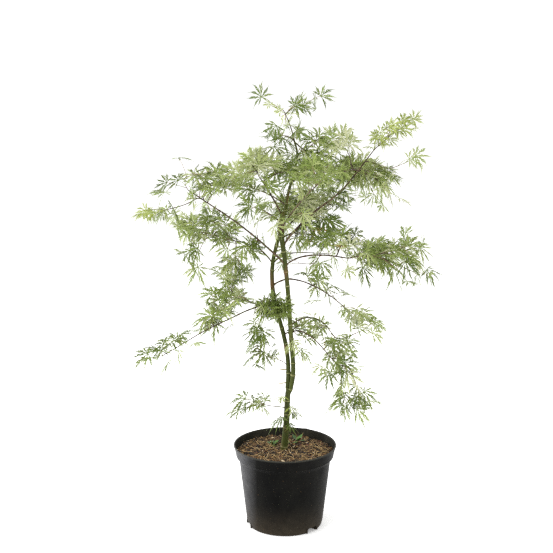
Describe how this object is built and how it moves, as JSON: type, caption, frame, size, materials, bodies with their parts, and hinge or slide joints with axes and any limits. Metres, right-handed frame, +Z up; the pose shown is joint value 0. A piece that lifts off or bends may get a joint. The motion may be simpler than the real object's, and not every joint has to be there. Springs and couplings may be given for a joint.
{
  "type": "potted laceleaf japanese maple",
  "caption": "Young potted Japanese maple with finely cut green leaves: forked trunk, wandering stems, arching boughs and layered foliage in a round black nursery pot.",
  "frame": {"origin": "middle of the pot's flat underside, on the surface that the pot stands on", "axes": "+Z up along the plant, +X to the viewer's right and +Y away from the viewer, with the longest lower bough towards -X"},
  "size_m": [0.8032, 0.554, 1.2113],
  "materials": {
    "pot_plastic": "satin",
    "potting_mix": "matte",
    "stem_bark": "satin",
    "bough_bark": "matte",
    "foliage": "matte"
  },
  "bodies": {
    "root": {"crown_middle_foliage": "foliage", "crown_top_foliage": "foliage", "drooping_left_foliage": "foliage", "drooping_right_foliage": "foliage", "far_left_bough": "bough_bark", "far_left_foliage": "foliage", "far_right_foliage": "foliage", "front_left_bough": "bough_bark", "front_left_foliage": "foliage", "front_right_bough": "bough_bark", "front_right_foliage": "foliage", "inner_crown_foliage": "foliage", "inner_left_foliage": "foliage", "inner_lower_right_foliage": "foliage", "inner_right_bough": "bough_bark", "left_bough": "bough_bark", "left_shoulder_foliage": "foliage", "left_stem": "stem_bark", "level_right_bough": "bough_bark", "level_right_foliage": "foliage", "low_left_bough": "bough_bark", "low_left_foliage": "foliage", "low_right_foliage": "foliage", "lower_left_bough": "bough_bark", "lower_left_foliage": "foliage", "lower_left_tip_foliage": "foliage", "lower_right_bough": "bough_bark", "lower_right_foliage": "foliage", "lowest_left_bough": "bough_bark", "lowest_left_foliage": "foliage", "lowest_right_foliage": "foliage", "main_right_bough": "bough_bark", "middle_left_foliage": "foliage", "middle_right_foliage": "foliage", "outer_left_foliage": "foliage", "outer_right_foliage": "foliage", "pot": "pot_plastic", "potting_mix": "potting_mix", "rear_left_bough": "bough_bark", "rear_left_foliage": "foliage", "rear_level_right_bough": "bough_bark", "rear_right_bough": "bough_bark", "rear_right_foliage": "foliage", "right_bough": "bough_bark", "right_shoulder_foliage": "foliage", "right_spray_foliage": "foliage", "right_stem": "stem_bark", "right_under_bough": "bough_bark", "stem_foliage": "foliage", "top_bough": "bough_bark", "top_left_foliage": "foliage", "top_right_foliage": "foliage", "trunk": "stem_bark", "under_left_foliage": "foliage", "under_right_foliage": "foliage", "upper_leader": "bough_bark", "upper_left_bough": "bough_bark", "upper_left_foliage": "foliage", "upper_right_foliage": "foliage", "upper_right_tip_foliage": "foliage"}
  },
  "joints": []
}
